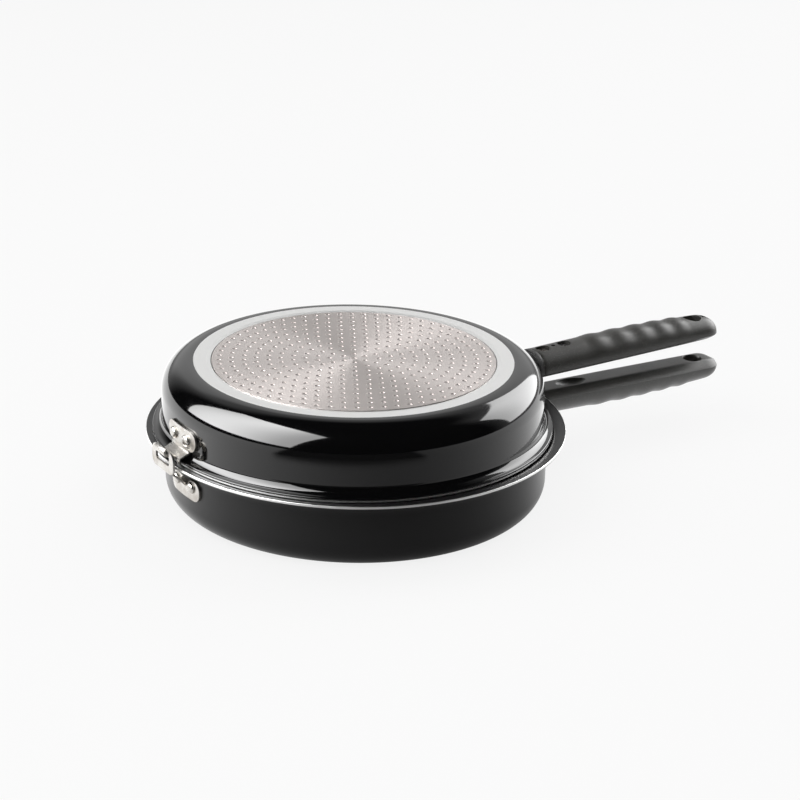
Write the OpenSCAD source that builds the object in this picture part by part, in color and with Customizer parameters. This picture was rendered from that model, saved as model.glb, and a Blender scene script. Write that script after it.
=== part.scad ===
// Double sided flip pan: two round pans that close rim to rim, joined by a
// loop and hook hinge opposite the handles, with a grip on each half.
// Origin: pan axis at the resting face of the lower pan. +X runs along the
// handles, the hinge lies at -X, +Z is up. The upper half is shown closed.

/* [Lower pan] */
// Height of the lower pan, base to rim
lower_h = 46.3; // [40:0.1:60]
// Outer radius of the lower pan's wall
lower_wall_r = 119.5; // [95:0.5:150]
// Outer radius of the corner between base and wall
lower_corner_r = 15; // [10:0.5:18]
// Radius of the cove that turns the wall out into the rim
lower_cove_r = 8.5; // [6:0.1:10]
// Overhang of the rim beyond the wall
lower_rim_out = 11.5; // [11:0.1:14]

/* [Upper pan] */
// Height of the upper pan, base to rim
upper_h = 42.5; // [38:0.1:60]
// How much smaller the upper pan's wall radius is
upper_inset = 0.5; // [0:0.1:3]
// Outer radius of the corner between base and wall
upper_corner_r = 18.5; // [12:0.5:19]
// Radius of the cove that turns the wall out into the rim
upper_cove_r = 5.4; // [4:0.1:7]
// Overhang of the rim beyond the wall
upper_rim_out = 5.8; // [5.6:0.1:8]
// How far the loose hinge lets the closed upper half slide towards it
upper_slip = 2.4; // [0:0.1:3]

/* [Sheet and base] */
// Thickness of the pressed wall
wall_t = 2.4; // [1.5:0.1:3]
// Thickness of the base
base_t = 4; // [3.5:0.1:6]
// Radius of the perforated plate
plate_r = 88; // [70:0.5:92]
// Thickness of the perforated plate
plate_t = 0.8; // [0.5:0.1:1.2]
// Depth of the plate's face below the base ring
plate_recess = 0.2; // [0.1:0.1:0.6]
// Width of the sloping edge round the plate
plate_bevel_w = 3; // [1:0.5:5]
// Diameter of a hole in the plate
hole_d = 3.2; // [2:0.1:4]
// Distance between two rings of holes
hole_pitch = 7.6; // [6:0.1:10]
// Number of rings of holes round the centre hole
hole_rings = 11; // [4:1:11]

/* [Hinge] */
// Thickness of the bracket sheet
bracket_t = 1.4; // [1:0.1:2]
// Width of the loop frame
loop_w = 27.4; // [24:0.1:34]
// Width of each side limb of the loop
loop_limb_w = 5; // [3:0.1:6]
// Height of the loop's top bar, round which the hook turns
bar_h = 2.2; // [1.6:0.1:3]
// Height of the loop's window
window_h = 7.1; // [6:0.1:8]
// Height of the loop's lower bar
loop_foot_h = 4.7; // [3:0.1:5.5]
// Gap between the lower pan's rim and the loop
loop_rim_gap = 2.55; // [2:0.05:4]
// Height of the bar's centre over the lower rim
pivot_rise = 8.6; // [8:0.05:10]
// Width of the neck under the loop
neck_w = 10; // [7:0.5:10.5]
// Width of the hook
hook_w = 12.6; // [8:0.1:15]
// Angle at which the hook's strip rises towards the bar
hook_rise_deg = 17.5; // [10:0.5:25]
// Angle that the hook's end rises past level, outside the bar
hook_end_deg = 60; // [20:1:80]
// Width of the tongue that carries the hook
tongue_w = 21; // [17:0.5:23]
// Depth of the down-turned lips beside the hook
lip_drop = 2.9; // [2:0.1:3.3]
// Width of a riveted bracket plate
hinge_plate_w = 34; // [31:0.5:40]
// Height of the upper bracket's riveted plate
upper_plate_h = 13; // [11:0.1:13.5]
// Height of the lower bracket's riveted plate
lower_plate_h = 12.5; // [12:0.5:16]
// Distance between the upper bracket's rivets
upper_rivet_span = 15.4; // [14:0.1:20]
// Distance between the lower bracket's rivets
lower_rivet_span = 18; // [18:0.5:22]

/* [Rivets] */
// Diameter of a rivet's shank
shank_d = 4.4; // [3:0.1:5]
// Diameter of a rivet's outer head
head_d = 7.2; // [6:0.1:8]
// Height of a rivet's outer head
head_h = 2.4; // [1.5:0.1:3]
// Diameter of a rivet's inner head
inner_head_d = 9; // [7:0.1:10]
// Height of a rivet's inner head
inner_head_h = 1.5; // [1:0.1:2]

/* [Handles] */
// Gap between the lower pan's rim and the grip's front
grip_standoff = 6.6; // [4:0.1:12]
// Length of a grip
grip_l = 150.5; // [120:0.5:190]
// Greatest half width of a grip
grip_half_w = 14; // [12:0.1:16]
// Height of the grip's rounded outer side over its widest line
grip_crown = 13.4; // [11:0.1:16]
// Depth of the grip's bevelled inner side under its widest line
grip_keel = 4.2; // [2:0.1:6]
// Half width of the flat on the inner side
grip_flat_half_w = 7.5; // [5:0.1:10]
// Distance from the plane between the grips to the widest line at the front
grip_offset = 9.3; // [7:0.1:14]
// Angle by which each grip leans away from the other
grip_lean = 1; // [0:0.1:4]
// Depth of the finger waves
finger_depth = 0.9; // [0:0.1:1.5]
// Distance of the first finger wave from the grip's front
finger_start = 48; // [40:0.5:60]
// Length of the first finger wave
finger_pitch = 20.3; // [16:0.1:24]
// Share by which the waves shorten for each millimetre
finger_tighten = 0.0024; // [0:0.0001:0.004]
// Diameter of the hanging hole
hang_d = 12.4; // [8:0.1:14]
// Distance from the grip's tip to the hanging hole
hang_from_tip = 17.5; // [16:0.5:26]
// Diameter of a screw's counterbore
counterbore_d = 9.4; // [8:0.1:10]
// Distance from the grip's front to the first screw
screw_start = 7.2; // [7:0.1:12]
// Distance between the two screws
screw_pitch = 17; // [14:0.5:22]
// Width of the tang
tang_w = 16; // [12:0.5:18]
// Thickness of the tang
tang_t = 3; // [2:0.1:4]
// Width of the bracket plate behind the handle
handle_plate_w = 38; // [34:0.5:44]
// Distance between the rivets of the handle bracket
handle_rivet_span = 26; // [25:0.5:30]

/* [Hidden] */
$fn = 96;

// Clearances
seat_gap = 0.15;      // curved sheet on the curved wall
shank_gap = 0.05;     // rivet or screw in its hole, all round
rim_gap = 0.35;       // upper rim over the lower rim's cove
pivot_gap = 0.3;      // hook round the bar
tang_gap = 0.2;       // tang in the grip's slot, all round
wall_gap = 0.4;       // bracket edge to the end of the straight wall
fold_gap = 0.5;       // upper bracket's fold outside the upper rim
strip_sink = 0.02;    // flat strip set into the upper bracket's curved plate
plate_gap = 0.5;      // plate edge to its pocket
eps = 0.01;
far = 400;

// Lower pan levels and radii
lower_rim_r = lower_wall_r + lower_rim_out;
lower_cove_z = lower_h - lower_cove_r - wall_t;
lower_cove_x = lower_wall_r + lower_cove_r;

// Upper pan in its own frame, base down
upper_wall_r = lower_wall_r - upper_inset;
upper_rim_r = upper_wall_r + upper_rim_out;
upper_cove_z = upper_h - upper_cove_r - wall_t;

// The upper rim rests in the lower rim's cove, so its level follows from it
seat_r = lower_cove_r + wall_t;
seat_x = min(lower_cove_x, upper_rim_r + upper_slip);
seat_z = lower_cove_z + sqrt(pow(seat_r, 2) - pow(lower_cove_x - seat_x, 2));
closed_z = seat_z + rim_gap + upper_h;

// Hinge line
bar_r = norm([bracket_t, bar_h]) / 2;
hook_r = bar_r + pivot_gap + bracket_t / 2;
loop_x = lower_rim_r + loop_rim_gap + bracket_t / 2;
pivot_z = lower_h + pivot_rise;
bar_top_z = pivot_z + bar_h / 2;
window_top_z = pivot_z - bar_h / 2;
window_low_z = window_top_z - window_h;
loop_low_z = window_low_z - loop_foot_h;
hook_touch = [loop_x, pivot_z] + hook_r * [sin(hook_rise_deg), -cos(hook_rise_deg)];
fold_x = upper_rim_r + upper_slip + fold_gap + bracket_t / 2;
fold_z = hook_touch[1] - (hook_touch[0] - fold_x) * tan(hook_rise_deg);

// Hinge plates on the walls
lower_plate_top_z = lower_cove_z - wall_gap;
lower_plate_mid_z = lower_plate_top_z - lower_plate_h / 2;
lower_rivet_z = lower_plate_top_z - 4.4;
upper_plate_low_z = closed_z - upper_cove_z + wall_gap;
upper_plate_mid_z = upper_plate_low_z + upper_plate_h / 2;
upper_rivet_z = upper_plate_low_z + 6.2;

// Handles
grip_x = lower_rim_r + grip_standoff;
grip_mid_z = lower_h + 1.7;
grip_z = grip_mid_z - grip_offset;
tang_drop = 4.5;
tang_z = grip_z - tang_drop;
collar_l = 12.6;
collar_flange_l = 3.2;
collar_inset = 1.5;
tang_l = screw_start + screw_pitch + 10;
handle_plate_t = 1.8;
handle_plate_h = 13;
screw_seat = 2.4;
screw_head_h = 2.6;
screw_head_d = counterbore_d - 1;
screw_d = 4;
tip_l = 13;
pocket_w = 12;
pocket_l = 24;
pocket_start = 17;
pocket_depth = 3;
vent_d = 3;

steel = [0.80, 0.80, 0.78];
plate_steel = [0.70, 0.68, 0.67];
black_lacquer = [0.05, 0.05, 0.055];
charcoal = [0.13, 0.13, 0.14];
bakelite = [0.17, 0.17, 0.17];
collar_black = [0.08, 0.08, 0.08];

// ---------------------------------------------------------------- sections

// Part of a ring between two angles less than 180 degrees apart
module ring_sector(r_in, r_out, from, to) {
    reach = 3 * r_out;
    mid = (from + to) / 2;
    intersection() {
        difference() {
            circle(r_out);
            circle(r_in);
        }
        polygon([
            [0, 0],
            reach * [cos(from), sin(from)],
            reach * [cos(mid), sin(mid)],
            reach * [cos(to), sin(to)]
        ]);
    }
}

// Half section of a dish: base, round corner and straight wall up to top_z
module dish_section(wall_r, corner_r, top_z) {
    inner_r = wall_r - wall_t;
    inner_corner_r = corner_r - 3;
    difference() {
        union() {
            square([wall_r - corner_r, corner_r]);
            translate([wall_r - corner_r, corner_r])
                intersection() {
                    circle(corner_r);
                    translate([0, -corner_r]) square(corner_r);
                }
            translate([0, corner_r]) square([wall_r, top_z - corner_r]);
        }
        translate([0, base_t]) square([inner_r - inner_corner_r, far]);
        translate([inner_r - inner_corner_r, base_t + inner_corner_r])
            intersection() {
                circle(inner_corner_r);
                translate([0, -inner_corner_r]) square(inner_corner_r);
            }
        translate([0, base_t + inner_corner_r]) square([inner_r, far]);
    }
}

// Cove that turns a wall of outer radius r out into a level rim
module rim_section(r, cove_r, rim_r, z, bevel) {
    translate([r + cove_r, z]) ring_sector(cove_r, cove_r + wall_t, 90, 180);
    difference() {
        translate([r + cove_r, z + cove_r]) square([rim_r - r - cove_r, wall_t]);
        translate([rim_r, z + cove_r]) rotate(45) square(bevel, center = true);
    }
}

// Pocket in the base for the perforated plate, with its sloping edge
module plate_pocket() {
    r = plate_r + plate_gap;
    depth = plate_recess + plate_t;
    translate([0, 0, -eps]) cylinder(r = r, h = depth + eps);
    cylinder(r1 = r + plate_bevel_w, r2 = r, h = depth / 2);
}

module induction_plate() {
    translate([0, 0, plate_recess]) linear_extrude(plate_t) difference() {
        circle(plate_r);
        circle(d = hole_d);
        for (ring = [1 : hole_rings], i = [0 : 6 * ring - 1])
            rotate(i * 60 / ring) translate([ring * hole_pitch, 0]) circle(d = hole_d);
    }
}

// ------------------------------------------------------------ shared places

// Turns the upper half from its own upright frame to its closed place
module closed() {
    slipped() translate([0, 0, closed_z]) mirror([0, 0, 1]) children();
}

// Slides a piece of the closed upper half towards the hinge
module slipped() {
    translate([-upper_slip, 0, 0]) children();
}

// Places a radial piece on the wall, span/2 to one side of the X axis
module on_wall(toward, wall_r, span, z) {
    side_deg = asin(span / 2 / wall_r);
    for (side = toward)
        rotate(side_deg * side) translate([0, 0, z]) rotate([0, 90, 0]) children();
}

LEFT = [1];
RIGHT = [-1];
BOTH = [-1, 1];

module rivet_holes(wall_r, span, z) {
    on_wall(BOTH, wall_r, span, z) cylinder(d = shank_d + 2 * shank_gap, h = far);
}

// Rivet through the wall and a sheet of thickness t laid on it
module rivet(toward, wall_r, span, z, t) {
    outer = wall_r + seat_gap + t + eps;
    inner = wall_r - wall_t - seat_gap;
    edge = 0.6;
    on_wall(toward, wall_r, span, z) {
        translate([0, 0, inner]) cylinder(d = shank_d, h = outer - inner);
        translate([0, 0, outer]) rotate_extrude() {
            square([head_d / 2 - edge, head_h]);
            square([head_d / 2, head_h - edge]);
            translate([head_d / 2 - edge, head_h - edge]) circle(edge);
        }
        dome_r = (pow(inner_head_d / 2, 2) + pow(inner_head_h, 2)) / (2 * inner_head_h);
        translate([0, 0, inner]) intersection() {
            translate([0, 0, dome_r - inner_head_h]) sphere(dome_r);
            translate([0, 0, -far]) cylinder(d = far, h = far);
        }
    }
}

// Sheet curved round the wall, cut to a rounded outline of width w and height h
module wall_plate(wall_r, w, h, mid_z, t, corner) {
    r = wall_r + seat_gap;
    intersection() {
        translate([0, 0, mid_z - h]) difference() {
            cylinder(r = r + t, h = 2 * h);
            translate([0, 0, -eps]) cylinder(r = r, h = 2 * h + 2 * eps);
        }
        translate([0, 0, mid_z]) rotate([90, 0, 90]) linear_extrude(far)
            rounded_outline(w, h, corner);
    }
}

module rounded_outline(w, h, corner) {
    square([w - 2 * corner, h], center = true);
    square([w, h - 2 * corner], center = true);
    for (sx = BOTH, sy = BOTH)
        translate([sx * (w / 2 - corner), sy * (h / 2 - corner)]) circle(corner);
}

// --------------------------------------------------------------- bent strips

function turn_deg(a, b, c) =
    let (u = b - a, v = c - b)
    atan2(u[0] * v[1] - u[1] * v[0], u[0] * v[0] + u[1] * v[1]);
function heading(a, b) = atan2(b[1] - a[1], b[0] - a[0]);
function trim(r, turn) = r * tan(abs(turn) / 2);

// Section of a sheet of thickness t that follows the points, bent at radius r
module bent_strip(pts, r, t) {
    last = len(pts) - 1;
    turns = [for (i = [0 : last]) i == 0 || i == last ? 0
        : turn_deg(pts[i - 1], pts[i], pts[i + 1])];
    for (i = [0 : last - 1]) {
        cut_a = trim(r, turns[i]);
        cut_b = trim(r, turns[i + 1]);
        translate(pts[i]) rotate(heading(pts[i], pts[i + 1]))
            translate([cut_a, -t / 2])
            square([norm(pts[i + 1] - pts[i]) - cut_a - cut_b, t]);
    }
    for (i = [1 : last - 1]) {
        side = sign(turns[i]);
        translate(pts[i]) rotate(heading(pts[i - 1], pts[i]))
            translate([-trim(r, turns[i]), side * r])
            ring_sector(r - t / 2, r + t / 2,
                min(-90 * side, -90 * side + turns[i]),
                max(-90 * side, -90 * side + turns[i]));
    }
}

// --------------------------------------------------------------- lower half

module lower_pan() {
    color(charcoal) difference() {
        rotate_extrude() {
            dish_section(lower_wall_r, lower_corner_r, lower_cove_z);
            rim_section(lower_wall_r, lower_cove_r, lower_rim_r, lower_cove_z, 0.6);
        }
        plate_pocket();
        rotate(180) rivet_holes(lower_wall_r, lower_rivet_span, lower_rivet_z);
        rivet_holes(lower_wall_r, handle_rivet_span, lower_handle_plate_z);
    }
}

module lower_induction_plate() {
    color(plate_steel) induction_plate();
}

// Riveted plate, neck that passes under the rim, and the loop outside it
module lower_hinge_bracket() {
    plate_x = lower_wall_r + seat_gap + bracket_t / 2;
    bend_r = 2.2;
    neck_low_z = lower_plate_mid_z + 1;
    neck_top_z = loop_low_z + 1;
    color(steel) rotate(180) difference() {
        union() {
            wall_plate(lower_wall_r, hinge_plate_w, lower_plate_h, lower_plate_mid_z,
                bracket_t, 5);
            rotate([90, 0, 0]) linear_extrude(neck_w, center = true)
                bent_strip([
                    [plate_x, lower_plate_mid_z - 4],
                    [plate_x, neck_low_z],
                    [loop_x, neck_top_z],
                    [loop_x, window_low_z - loop_foot_h / 4]
                ], bend_r, bracket_t);
            translate([loop_x - bracket_t / 2, 0, (bar_top_z + loop_low_z) / 2])
                rotate([90, 0, 90]) linear_extrude(bracket_t)
                rounded_outline(loop_w, bar_top_z - loop_low_z, 5);
        }
        translate([loop_x, 0, (window_top_z + window_low_z) / 2])
            rotate([90, 0, 90]) linear_extrude(2 * bracket_t, center = true)
            rounded_outline(loop_w - 2 * loop_limb_w, window_h, 2.2);
        rivet_holes(lower_wall_r, lower_rivet_span, lower_rivet_z);
    }
}

module lower_hinge_rivet(toward) {
    color(steel) rotate(180)
        rivet(toward, lower_wall_r, lower_rivet_span, lower_rivet_z, bracket_t);
}

// --------------------------------------------------------------- upper half

module upper_pan() {
    color(black_lacquer) closed() difference() {
        rotate_extrude() {
            dish_section(upper_wall_r, upper_corner_r, upper_cove_z);
            rim_section(upper_wall_r, upper_cove_r, upper_rim_r, upper_cove_z, 0.6);
        }
        plate_pocket();
        rotate(180) rivet_holes(upper_wall_r, upper_rivet_span, closed_z - upper_rivet_z);
        rivet_holes(upper_wall_r, handle_rivet_span, closed_z - upper_handle_plate_z);
    }
}

module upper_induction_plate() {
    color(plate_steel) closed() induction_plate();
}

// Riveted plate, tongue over the rim, lips in front of the rim, and the hook
// that passes through the loop's window and turns round its bar
module upper_hinge_bracket() {
    plate_x = upper_slip + upper_wall_r + seat_gap + bracket_t / 2 - strip_sink;
    start = [plate_x, upper_plate_low_z + 1];
    crease = [plate_x, upper_plate_low_z - wall_gap - 0.95];
    fold = [fold_x, fold_z];
    bend_r = 1.4;
    side_y = (tongue_w + hook_w) / 4 + 0.4;
    side_w = (tongue_w - hook_w) / 2 - 0.8;
    color(steel) rotate(180) difference() {
        union() {
            translate([upper_slip, 0, 0])
                wall_plate(upper_wall_r, hinge_plate_w, upper_plate_h,
                    upper_plate_mid_z, bracket_t, 5.9);
            rotate([90, 0, 0]) {
                linear_extrude(tongue_w, center = true)
                    bent_strip([start, crease, fold], bend_r, bracket_t);
                linear_extrude(hook_w, center = true) {
                    bent_strip([(crease + fold) / 2, fold, hook_touch], bend_r, bracket_t);
                    translate([loop_x, pivot_z])
                        ring_sector(hook_r - bracket_t / 2, hook_r + bracket_t / 2,
                            hook_rise_deg - 92, hook_end_deg);
                }
                for (side = BOTH) translate([0, 0, side * side_y])
                    linear_extrude(side_w, center = true)
                    bent_strip([(crease + fold) / 2, fold, fold - [0, lip_drop]],
                        bend_r, bracket_t);
            }
        }
        translate([upper_slip, 0, 0])
            rivet_holes(upper_wall_r, upper_rivet_span, upper_rivet_z);
    }
}

module upper_hinge_rivet(toward) {
    color(steel) slipped() rotate(180)
        rivet(toward, upper_wall_r, upper_rivet_span, upper_rivet_z, bracket_t);
}

// ------------------------------------------------------------------ handles

lower_handle_plate_z = lower_plate_top_z - handle_plate_h / 2;
upper_handle_plate_z = upper_plate_low_z + handle_plate_h / 2;

// Frame of a grip: x from its front, z away from the other grip
module lower_grip_frame() {
    translate([grip_x, 0, grip_z]) rotate([0, grip_lean, 0]) mirror([0, 0, 1]) children();
}

module upper_grip_frame() {
    translate([0, 0, 2 * grip_mid_z]) mirror([0, 0, 1]) lower_grip_frame() children();
}

// Half width, crown and keel of the grip at distance s from its front
function blunt(s) = s < grip_l - tip_l ? 1
    : pow(max(0, 1 - pow((s - grip_l + tip_l) / tip_l, 2.6)), 1 / 2.6);
function swell(s) = sin(180 * min(1, s / grip_l));
function wave(s) =
    let (d = s - finger_start, phase = d / finger_pitch * (1 + finger_tighten * d))
    phase < -0.5 || phase > 4.5 ? 0 : (1 + cos(360 * phase)) / 2;
function half_w(s) = (grip_half_w - 1.5 * pow(s / grip_l, 2) + 0.4 * swell(s)) * blunt(s);
function crown(s) = (grip_crown - 3 * pow(s / grip_l, 3) + 0.8 * swell(s)
    + finger_depth * (wave(s) - 0.5)) * blunt(s);
function keel(s) = grip_keel * blunt(s);
function flat_w(s) = grip_flat_half_w / grip_half_w * half_w(s);

CROWN_STEPS = 20;
STATIONS = 44;

// One closed section: the crown as half an oval, then bevel, flat and bevel
function section(s) = concat(
    [for (i = [0 : CROWN_STEPS])
        let (a = 180 * i / CROWN_STEPS)
        [s, half_w(s) * sign(cos(a)) * pow(abs(cos(a)), 0.9), crown(s) * pow(sin(a), 0.92)]],
    [for (side = [-1, 1], i = [1 : 3])
        let (f = side < 0 ? i / 3 : 1 - (i - 1) / 3,
             y = half_w(s) + (flat_w(s) - half_w(s)) * f)
        [s, side * y, -keel(s) * pow(f, 0.8)]]);

function station(i) =
    let (u = i / (STATIONS - 1))
    u < 0.8 ? u / 0.8 * (grip_l - tip_l)
        : grip_l - tip_l + (tip_l - 0.02) * sin(90 * (u - 0.8) / 0.2);

module grip_skin() {
    n = CROWN_STEPS + 7;
    points = [for (i = [0 : STATIONS - 1]) each section(station(i))];
    sides = [for (i = [0 : STATIONS - 2], j = [0 : n - 1])
        let (a = i * n + j, b = i * n + (j + 1) % n) each
        [[a, b, b + n], [a, b + n, a + n]]];
    front = [for (j = [1 : n - 2]) [0, j + 1, j]];
    base = (STATIONS - 1) * n;
    tip = [for (j = [1 : n - 2]) [base, base + j, base + j + 1]];
    polyhedron(points, concat(sides, front, tip));
}

module grip() {
    hang_x = grip_l - hang_from_tip;
    difference() {
        grip_skin();
        translate([-eps, -tang_w / 2 - tang_gap, tang_drop - tang_t / 2 - tang_gap])
            cube([tang_l + tang_gap + eps, tang_w + 2 * tang_gap, tang_t + 2 * tang_gap]);
        for (i = [0, 1]) translate([screw_start + i * screw_pitch, 0, tang_drop]) {
            cylinder(d = screw_d + 4 * tang_gap, h = far);
            translate([0, 0, tang_t / 2 + screw_seat]) cylinder(d = counterbore_d, h = far);
        }
        translate([screw_start + screw_pitch / 2, 0, tang_drop]) cylinder(d = vent_d, h = far);
        translate([hang_x, 0, -far / 2]) cylinder(d = hang_d, h = far);
        translate([hang_x + hang_d / 2 + 3.4, 0, grip_crown - 5.5]) cylinder(d = 4.4, h = far);
        translate([pocket_start + pocket_l / 2, 0, -grip_keel]) dish();
    }
}

// Lens that scoops the thumb dish, pocket_l by pocket_w where it meets the flat
module dish() {
    lens_r = (pow(pocket_depth, 2) + pow(pocket_w / 2, 2)) / (2 * pocket_depth);
    arc_r = (pow(pocket_depth, 2) + pow(pocket_l / 2, 2)) / (2 * pocket_depth);
    translate([0, 0, pocket_depth - lens_r]) rotate([0, 90, 0]) rotate_extrude()
        intersection() {
            translate([lens_r - arc_r, 0]) circle(arc_r);
            translate([0, -pocket_l / 2 - 1]) square([lens_r, pocket_l + 2]);
        }
}

module collar() {
    front = -collar_l;
    difference() {
        union() {
            translate([front, 0, 0]) rotate([90, 0, 90])
                linear_extrude(collar_l - collar_flange_l) collar_section(collar_inset);
            translate([-collar_flange_l, 0, 0]) rotate([90, 0, 90])
                linear_extrude(collar_flange_l) collar_section(0.4);
        }
        translate([front - eps, -tang_w / 2 - tang_gap, tang_drop - tang_t / 2 - tang_gap])
            cube([collar_l + 2 * eps, tang_w + 2 * tang_gap, tang_t + 2 * tang_gap]);
    }
}

// Section of the grip's front, drawn in by inset
module collar_section(inset) {
    w = grip_half_w - inset;
    intersection() {
        circle(w);
        translate([-w, 0]) square([2 * w, grip_crown - inset]);
    }
    polygon([
        [-w, 0], [w, 0],
        [grip_flat_half_w, inset - grip_keel],
        [-grip_flat_half_w, inset - grip_keel]
    ]);
}

module tang() {
    reach = grip_x - lower_wall_r - seat_gap;
    translate([-reach, -tang_w / 2, tang_drop - tang_t / 2]) difference() {
        cube([reach + tang_l, tang_w, tang_t]);
        for (i = [0, 1]) translate([reach + screw_start + i * screw_pitch, tang_w / 2, -far / 2])
            cylinder(d = screw_d + 2 * shank_gap, h = far);
    }
}

module screw(i) {
    head_z = tang_drop + tang_t / 2 + screw_seat;
    translate([screw_start + i * screw_pitch, 0, 0]) {
        translate([0, 0, tang_drop - tang_t / 2])
            cylinder(d = screw_d, h = head_z - tang_drop + tang_t / 2 + eps);
        translate([0, 0, head_z]) difference() {
            cylinder(d = screw_head_d, h = screw_head_h);
            for (turn = [0, 90]) rotate(turn) translate([0, 0, screw_head_h])
                cube([5, 1, 2.4], center = true);
        }
    }
}

// Curved plate on the wall with the tang standing out of it
module handle_bracket(wall_r, plate_z) {
    difference() {
        union() {
            wall_plate(wall_r, handle_plate_w, handle_plate_h, plate_z, handle_plate_t, 4.5);
            difference() {
                children();
                translate([0, 0, -far / 2]) cylinder(r = wall_r + seat_gap, h = far);
            }
        }
        rivet_holes(wall_r, handle_rivet_span, plate_z);
    }
}

module lower_handle_bracket() {
    color(steel) handle_bracket(lower_wall_r, lower_handle_plate_z) lower_grip_frame() tang();
}

module upper_handle_bracket() {
    color(steel) slipped() handle_bracket(upper_wall_r, upper_handle_plate_z)
        upper_grip_frame() tang();
}

module handle_rivet(toward, wall_r, z) {
    color(steel) rivet(toward, wall_r, handle_rivet_span, z, handle_plate_t);
}

// ---------------------------------------------------------------- the nodes

lower_pan();
lower_induction_plate();
lower_hinge_bracket();
lower_hinge_rivet(LEFT);  // lower_hinge_rivet_left
lower_hinge_rivet(RIGHT);  // lower_hinge_rivet_right
lower_handle_bracket();
handle_rivet(LEFT, lower_wall_r, lower_handle_plate_z);  // lower_handle_rivet_left
handle_rivet(RIGHT, lower_wall_r, lower_handle_plate_z);  // lower_handle_rivet_right
color(collar_black) lower_grip_frame() collar();  // lower_handle_collar
color(bakelite) lower_grip_frame() grip();  // lower_handle_grip
color(steel) lower_grip_frame() screw(0);  // lower_handle_screw_front
color(steel) lower_grip_frame() screw(1);  // lower_handle_screw_rear

upper_pan();
upper_induction_plate();
upper_hinge_bracket();
upper_hinge_rivet(LEFT);  // upper_hinge_rivet_left
upper_hinge_rivet(RIGHT);  // upper_hinge_rivet_right
upper_handle_bracket();
slipped() handle_rivet(LEFT, upper_wall_r, upper_handle_plate_z);  // upper_handle_rivet_left
slipped() handle_rivet(RIGHT, upper_wall_r, upper_handle_plate_z);  // upper_handle_rivet_right
color(collar_black) slipped() upper_grip_frame() collar();  // upper_handle_collar
color(bakelite) slipped() upper_grip_frame() grip();  // upper_handle_grip
color(steel) slipped() upper_grip_frame() screw(0);  // upper_handle_screw_front
color(steel) slipped() upper_grip_frame() screw(1);  // upper_handle_screw_rear
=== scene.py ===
"""Looks of a double sided flip pan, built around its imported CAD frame.

Two round pans close rim to rim. A loop and a hook join them at -X, and each has
a moulded grip at +X. The smooth pieces here replace the CAD nodes whose facets
would show in a gloss finish, at the same sizes and in the same places.
Lengths in the size fields are millimetres, and meshes are in metres.
"""

from __future__ import annotations

import logging
import math
from dataclasses import dataclass, field
from enum import Enum
from typing import Any, Iterable, Sequence, Union

import bmesh
import bpy
import numpy as np
from mathutils import Matrix, Vector


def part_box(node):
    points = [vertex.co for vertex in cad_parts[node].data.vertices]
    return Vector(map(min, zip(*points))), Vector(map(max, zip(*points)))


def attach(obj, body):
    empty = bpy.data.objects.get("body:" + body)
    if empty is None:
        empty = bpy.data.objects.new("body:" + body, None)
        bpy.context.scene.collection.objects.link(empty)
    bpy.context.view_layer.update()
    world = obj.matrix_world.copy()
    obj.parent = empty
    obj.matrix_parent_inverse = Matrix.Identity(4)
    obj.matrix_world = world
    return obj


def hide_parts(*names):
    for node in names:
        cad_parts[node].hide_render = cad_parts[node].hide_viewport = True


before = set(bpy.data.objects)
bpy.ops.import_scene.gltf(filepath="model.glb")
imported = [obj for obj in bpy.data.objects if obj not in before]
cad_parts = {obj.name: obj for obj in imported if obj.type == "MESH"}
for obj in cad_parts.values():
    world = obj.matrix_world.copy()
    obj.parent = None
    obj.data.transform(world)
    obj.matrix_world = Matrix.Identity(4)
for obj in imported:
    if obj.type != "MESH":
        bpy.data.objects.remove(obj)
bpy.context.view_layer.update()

log = logging.getLogger("flip_pan")

MM = 0.001
TAU = 2 * math.pi
DEGREES = 180 / math.pi
Array = np.ndarray
MeshData = tuple[Array, list]
Colour = tuple[float, float, float]
Pair = tuple[float, float]
Piece = bpy.types.Object
Material = bpy.types.Material
Palette = dict[str, Material]


class Half(Enum):
    """The two halves of the pan, by the name that their CAD nodes start with."""

    LOWER = "lower"
    UPPER = "upper"

    @property
    def body(self) -> str:
        """The CAD body that this half's pieces ride on."""
        return f"{self.value}_half"


# ---- shader writing ----


def operator(operation: str) -> Any:
    """A method that joins a signal and another value by a Math node."""
    return lambda self, other: self.math(operation, other)


class Signal:
    """A node socket or a plain number that Python's operators can combine.

    An operator adds a Math node to the graph, so that an expression on signals
    reads as its formula.
    """

    def __init__(self, graph: "Graph", value: Any) -> None:
        """Wraps an output socket or a number for nodes of one graph."""
        self.graph = graph
        self.value = value

    def math(self, operation: str, *others: Any) -> "Signal":
        """Adds a Math node that takes this signal first and the others next."""
        inputs = dict(enumerate([self, *others]))
        return self.graph.node("ShaderNodeMath", {"operation": operation}, inputs)

    __add__ = __radd__ = operator("ADD")
    __mul__ = __rmul__ = operator("MULTIPLY")
    __sub__ = operator("SUBTRACT")
    __truediv__ = operator("DIVIDE")
    __pow__ = operator("POWER")
    least = operator("MINIMUM")
    most = operator("MAXIMUM")

    def __rsub__(self, other: Any) -> "Signal":
        """Difference from a number."""
        return Signal(self.graph, other).math("SUBTRACT", self)

    def rise(self, start: float, end: float) -> "Signal":
        """Smooth step from 0 at start to 1 at end. Start may be the larger."""
        if start > end:
            return 1 - self.rise(end, start)
        return self.graph.node(
            "ShaderNodeMapRange",
            {"interpolation_type": "SMOOTHSTEP", "clamp": True},
            {"Value": self, "From Min": start, "From Max": end},
        )

    def between(self, low: float, high: float, soft: float) -> "Signal":
        """1 from low to high, falling to 0 over soft on both sides."""
        return self.rise(low - soft, low) * self.rise(high + soft, high)


Value = Union[Signal, float, int, Sequence[float]]


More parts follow.
